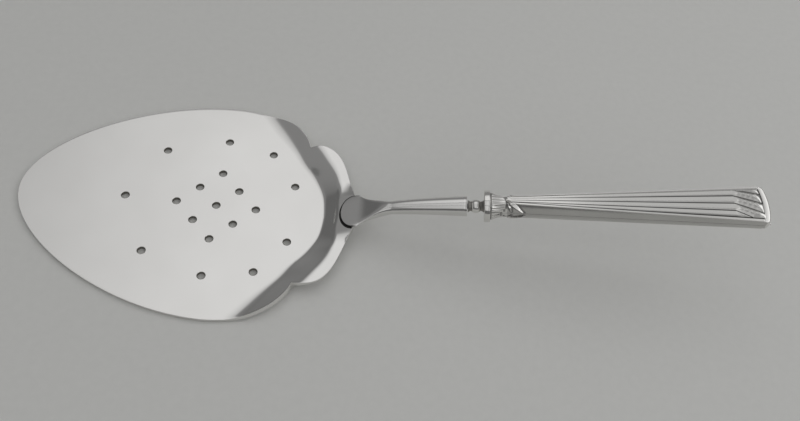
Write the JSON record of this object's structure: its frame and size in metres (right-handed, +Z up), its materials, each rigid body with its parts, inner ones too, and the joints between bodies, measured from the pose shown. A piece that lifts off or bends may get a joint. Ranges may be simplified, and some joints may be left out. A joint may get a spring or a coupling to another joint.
{
  "type": "fish server",
  "caption": "Serving slice with a broad egg-shaped blade pierced with drain holes, a scalloped raised heel, a round stem and a hollow reeded handle that widens to its end.",
  "frame": {"origin": "centre of the bounding box's base, on the surface that the blade's flat underside rests on", "axes": "+X from the tip of the blade to the end of the handle, +Y to the side, +Z up from the blade's flat"},
  "size_m": [0.2722, 0.0954, 0.044],
  "materials": {
    "blade": "polished",
    "shank": "polished",
    "tang": "satin",
    "knop": "polished",
    "collar": "polished",
    "handle_front": "polished",
    "handle_back": "polished",
    "handle_filler": "matte"
  },
  "bodies": {
    "root": {"blade": "blade", "shank": "shank", "tang": "tang", "knop": "knop", "collar": "collar", "handle_front": "handle_front", "handle_back": "handle_back", "handle_filler": "handle_filler"}
  },
  "joints": []
}
